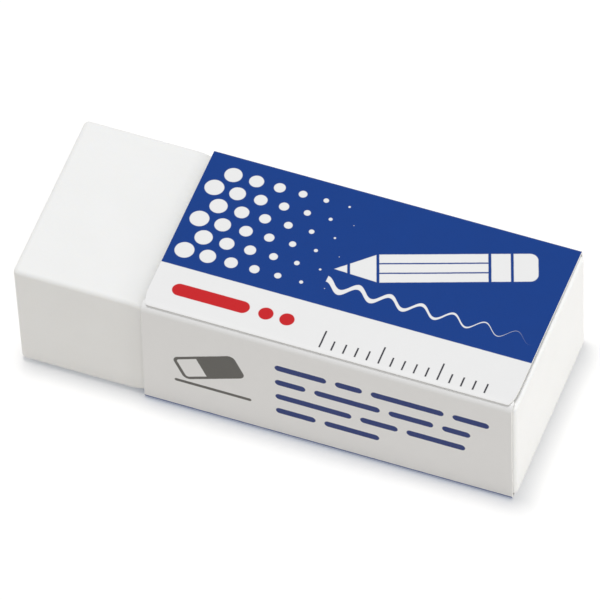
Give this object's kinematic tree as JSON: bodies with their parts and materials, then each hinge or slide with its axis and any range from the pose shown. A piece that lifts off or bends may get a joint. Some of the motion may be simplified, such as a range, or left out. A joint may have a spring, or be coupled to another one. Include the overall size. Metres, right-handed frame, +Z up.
{
  "type": "block eraser in a card sleeve",
  "caption": "White vinyl block eraser held in a folded, glued card sleeve that slides along it and leaves one end of the block bare for rubbing out.",
  "frame": {"origin": "on the surface that the sleeve rests on, under the middle of the block", "axes": "+X along the block from its bare end to its covered end, +Y across it towards the back panel, +Z up"},
  "size_m": [0.043, 0.0172, 0.0121],
  "materials": {
    "vinyl": "matte white vinyl",
    "card": "satin printed card, blue and white"
  },
  "bodies": {
    "block": {"eraser_block": "vinyl"},
    "sleeve": {"card_sleeve": "card"}
  },
  "joints": [
    {"name": "sleeve_slide", "type": "slide", "parent": "block", "child": "sleeve", "axis": [1, 0, 0], "range_m": [-0.01115, 0.033]}
  ]
}
